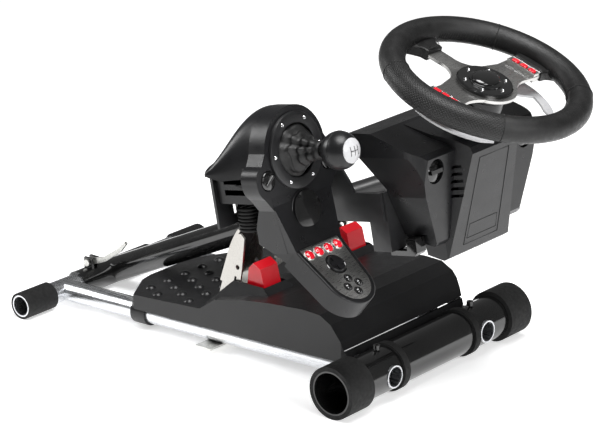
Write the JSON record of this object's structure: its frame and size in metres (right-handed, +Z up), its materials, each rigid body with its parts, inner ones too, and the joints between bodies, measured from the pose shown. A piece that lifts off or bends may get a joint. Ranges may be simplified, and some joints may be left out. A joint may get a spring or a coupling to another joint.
{
  "type": "racing wheel",
  "caption": "Racing wheel set on a folding tube stand: steering wheel with paddles, motor base, gear shifter with buttons, and floor pedals.",
  "frame": {"origin": "centre of the footprint of the folded set, on the floor", "axes": "+X to the driver's right, +Y forward away from the driver along the legs, +Z up"},
  "size_m": [0.4858, 0.8354, 0.4866],
  "materials": {
    "silver_steel": "satin",
    "zinc_steel": "satin",
    "gloss_black_steel": "gloss",
    "satin_black_steel": "satin",
    "black_rubber": "matte",
    "textured_black_plastic": "matte",
    "satin_black_plastic": "satin",
    "gloss_black_plastic": "gloss",
    "pedal_steel": "satin",
    "red_plastic": "satin",
    "red_gloss_plastic": "gloss",
    "brushed_aluminium": "satin",
    "silver_plastic": "satin",
    "black_leather": "matte",
    "bearing_steel": "polished",
    "motor_steel": "satin",
    "cable_black": "satin"
  },
  "bodies": {
    "stand": {"rear_cross_tube": "silver_steel", "rear_foot_sleeves": "black_rubber", "leg_tubes": "silver_steel", "front_cross_tube": "gloss_black_steel", "front_rubber_rings": "black_rubber", "leg_lock_screws": "gloss_black_steel", "leg_hooks": "textured_black_plastic", "pedal_mount_plate": "zinc_steel", "pedal_base": "textured_black_plastic", "pedal_top_case": "textured_black_plastic", "pedal_pivot_pins": "zinc_steel", "spring_housings": "red_plastic"},
    "column": {"column_lower": "gloss_black_steel"},
    "fold_lever": {"fold_clamp_lever": "zinc_steel"},
    "mast": {"column_upper": "satin_black_steel", "tilt_bracket": "satin_black_steel"},
    "platform": {"platform_plate": "satin_black_steel", "shifter_bracket": "satin_black_steel", "base_lower_shell": "satin_black_plastic", "base_upper_shell": "satin_black_plastic", "shaft_bearings": "bearing_steel", "force_motors": "motor_steel", "shifter_front_shell": "satin_black_plastic", "shifter_rear_shell": "satin_black_plastic", "button_panel": "brushed_aluminium", "shifter_lead_hank": "cable_black", "gaiter": "black_leather"},
    "wheel": {"wheel_rim": "black_leather", "wheel_spokes": "brushed_aluminium", "hub_cap": "gloss_black_plastic", "wheel_hub": "satin_black_plastic", "wheel_shaft": "bearing_steel"},
    "right_paddle": {"paddle_right": "silver_plastic"},
    "left_paddle": {"paddle_left": "silver_plastic"},
    "gimbal": {"shifter_gimbal": "gloss_black_plastic"},
    "lever": {"gear_lever": "zinc_steel", "gear_knob": "satin_black_plastic"},
    "direction_pad": {"d_pad": "satin_black_plastic"},
    "right_knob": {"clamp_knob_right": "gloss_black_plastic"},
    "left_knob": {"clamp_knob_left": "gloss_black_plastic"},
    "right_jaw": {"clamp_jaw_right": "gloss_black_plastic"},
    "left_jaw": {"clamp_jaw_left": "gloss_black_plastic"},
    "gas": {"gas_pedal": "pedal_steel"},
    "brake": {"brake_pedal": "pedal_steel"},
    "clutch": {"clutch_pedal": "pedal_steel"},
    "wheel_right_key_1": {"wheel_button_right_1": "red_gloss_plastic"},
    "wheel_right_key_2": {"wheel_button_right_2": "red_gloss_plastic"},
    "wheel_right_key_3": {"wheel_button_right_3": "red_gloss_plastic"},
    "wheel_left_key_1": {"wheel_button_left_1": "red_gloss_plastic"},
    "wheel_left_key_2": {"wheel_button_left_2": "red_gloss_plastic"},
    "wheel_left_key_3": {"wheel_button_left_3": "red_gloss_plastic"},
    "red_key_1": {"shifter_red_button_1": "red_gloss_plastic"},
    "black_key_1": {"shifter_black_button_1": "gloss_black_plastic"},
    "red_key_2": {"shifter_red_button_2": "red_gloss_plastic"},
    "black_key_2": {"shifter_black_button_2": "gloss_black_plastic"},
    "red_key_3": {"shifter_red_button_3": "red_gloss_plastic"},
    "black_key_3": {"shifter_black_button_3": "gloss_black_plastic"},
    "red_key_4": {"shifter_red_button_4": "red_gloss_plastic"},
    "black_key_4": {"shifter_black_button_4": "gloss_black_plastic"}
  },
  "joints": [
    {"name": "column_fold", "type": "hinge", "parent": "stand", "child": "column", "pos_m": [-0.04743, -0.40321, 0.0195], "axis": [1, 0, 0], "range_deg": [0, 55]},
    {"name": "fold_lever_swing", "type": "hinge", "parent": "column", "child": "fold_lever", "pos_m": [-0.00543, -0.40321, 0.046], "axis": [1, 0, 0], "range_deg": [0, 100]},
    {"name": "column_slide", "type": "slide", "parent": "column", "child": "mast", "axis": [0, 0.9107, 0.4131], "range_m": [0, 0.1]},
    {"name": "platform_tilt", "type": "hinge", "parent": "mast", "child": "platform", "pos_m": [-0.04743, 0.17542, 0.28283], "axis": [1, 0, 0], "range_deg": [-10, 25]},
    {"name": "wheel_spin", "type": "hinge", "parent": "platform", "child": "wheel", "pos_m": [-0.04743, 0.2796, 0.42914], "axis": [0, 0.3289, 0.9444], "range_deg": [-450, 450]},
    {"name": "right_paddle_pull", "type": "hinge", "parent": "wheel", "child": "right_paddle", "pos_m": [-0.02143, 0.26776, 0.39515], "axis": [0, -0.9444, 0.3289], "range_deg": [0, 5], "stiffness_Nm_per_rad": 3, "springref_deg": -1.15},
    {"name": "left_paddle_pull", "type": "hinge", "parent": "wheel", "child": "left_paddle", "pos_m": [-0.07343, 0.26776, 0.39515], "axis": [0, 0.9444, -0.3289], "range_deg": [0, 5], "stiffness_Nm_per_rad": 3, "springref_deg": -1.15},
    {"name": "wheel_right_key_1_press", "type": "slide", "parent": "wheel", "child": "wheel_right_key_1", "axis": [0, -0.3289, -0.9444], "range_m": [0, 0.0008], "stiffness_N_per_m": 300, "springref_m": -0.001},
    {"name": "wheel_right_key_2_press", "type": "slide", "parent": "wheel", "child": "wheel_right_key_2", "axis": [0, -0.3289, -0.9444], "range_m": [0, 0.0008], "stiffness_N_per_m": 300, "springref_m": -0.001},
    {"name": "wheel_right_key_3_press", "type": "slide", "parent": "wheel", "child": "wheel_right_key_3", "axis": [0, -0.3289, -0.9444], "range_m": [0, 0.0008], "stiffness_N_per_m": 300, "springref_m": -0.001},
    {"name": "wheel_left_key_1_press", "type": "slide", "parent": "wheel", "child": "wheel_left_key_1", "axis": [0, -0.3289, -0.9444], "range_m": [0, 0.0008], "stiffness_N_per_m": 300, "springref_m": -0.001},
    {"name": "wheel_left_key_2_press", "type": "slide", "parent": "wheel", "child": "wheel_left_key_2", "axis": [0, -0.3289, -0.9444], "range_m": [0, 0.0008], "stiffness_N_per_m": 300, "springref_m": -0.001},
    {"name": "wheel_left_key_3_press", "type": "slide", "parent": "wheel", "child": "wheel_left_key_3", "axis": [0, -0.3289, -0.9444], "range_m": [0, 0.0008], "stiffness_N_per_m": 300, "springref_m": -0.001},
    {"name": "lever_select", "type": "hinge", "parent": "platform", "child": "gimbal", "pos_m": [0.16457, 0.10125, 0.35505], "axis": [0, 0.1736, -0.9848], "range_deg": [-8, 8], "stiffness_Nm_per_rad": 2, "deforming": ["gaiter"]},
    {"name": "lever_shift", "type": "hinge", "parent": "gimbal", "child": "lever", "pos_m": [0.16457, 0.10125, 0.35505], "axis": [1, 0, 0], "range_deg": [-12, 12]},
    {"name": "red_key_1_press", "type": "slide", "parent": "platform", "child": "red_key_1", "axis": [0, -0.6018, -0.7986], "range_m": [0, 0.001], "stiffness_N_per_m": 300, "springref_m": -0.001},
    {"name": "black_key_1_press", "type": "slide", "parent": "platform", "child": "black_key_1", "axis": [0, -0.6018, -0.7986], "range_m": [0, 0.001], "stiffness_N_per_m": 300, "springref_m": -0.001},
    {"name": "red_key_2_press", "type": "slide", "parent": "platform", "child": "red_key_2", "axis": [0, -0.6018, -0.7986], "range_m": [0, 0.001], "stiffness_N_per_m": 300, "springref_m": -0.001},
    {"name": "black_key_2_press", "type": "slide", "parent": "platform", "child": "black_key_2", "axis": [0, -0.6018, -0.7986], "range_m": [0, 0.001], "stiffness_N_per_m": 300, "springref_m": -0.001},
    {"name": "red_key_3_press", "type": "slide", "parent": "platform", "child": "red_key_3", "axis": [0, -0.6018, -0.7986], "range_m": [0, 0.001], "stiffness_N_per_m": 300, "springref_m": -0.001},
    {"name": "black_key_3_press", "type": "slide", "parent": "platform", "child": "black_key_3", "axis": [0, -0.6018, -0.7986], "range_m": [0, 0.001], "stiffness_N_per_m": 300, "springref_m": -0.001},
    {"name": "red_key_4_press", "type": "slide", "parent": "platform", "child": "red_key_4", "axis": [0, -0.6018, -0.7986], "range_m": [0, 0.001], "stiffness_N_per_m": 300, "springref_m": -0.001},
    {"name": "black_key_4_press", "type": "slide", "parent": "platform", "child": "black_key_4", "axis": [0, -0.6018, -0.7986], "range_m": [0, 0.001], "stiffness_N_per_m": 300, "springref_m": -0.001},
    {"name": "direction_pad_rock", "type": "hinge", "parent": "platform", "child": "direction_pad", "pos_m": [0.16457, 0.20004, 0.21849], "axis": [1, 0, 0], "range_deg": [-4, 4], "stiffness_Nm_per_rad": 0.5},
    {"name": "right_knob_turn", "type": "hinge", "parent": "platform", "child": "right_knob", "pos_m": [0.04757, 0.20601, 0.31666], "axis": [0, 0.9848, 0.1736], "range_deg": [0, 720]},
    {"name": "right_jaw_slide", "type": "slide", "parent": "platform", "child": "right_jaw", "axis": [0, -0.9848, -0.1736], "range_m": [0, 0.008]},
    {"name": "left_knob_turn", "type": "hinge", "parent": "platform", "child": "left_knob", "pos_m": [-0.14243, 0.20601, 0.31666], "axis": [0, 0.9848, 0.1736], "range_deg": [0, 720]},
    {"name": "left_jaw_slide", "type": "slide", "parent": "platform", "child": "left_jaw", "axis": [0, -0.9848, -0.1736], "range_m": [0, 0.008]},
    {"name": "gas_press", "type": "hinge", "parent": "stand", "child": "gas", "pos_m": [0.02057, -0.09721, 0.077], "axis": [-1, 0, 0], "range_deg": [0, 18], "stiffness_Nm_per_rad": 12, "springref_deg": -2.86},
    {"name": "brake_press", "type": "hinge", "parent": "stand", "child": "brake", "pos_m": [-0.09243, -0.09721, 0.077], "axis": [-1, 0, 0], "range_deg": [0, 18], "stiffness_Nm_per_rad": 12, "springref_deg": -2.86},
    {"name": "clutch_press", "type": "hinge", "parent": "stand", "child": "clutch", "pos_m": [-0.16343, -0.09721, 0.077], "axis": [-1, 0, 0], "range_deg": [0, 18], "stiffness_Nm_per_rad": 12, "springref_deg": -2.86}
  ],
  "couplings": [
    {"joint": "right_knob_turn", "follows": "right_jaw_slide", "rad_per_m": 1570.8},
    {"joint": "left_knob_turn", "follows": "left_jaw_slide", "rad_per_m": 1570.8}
  ]
}
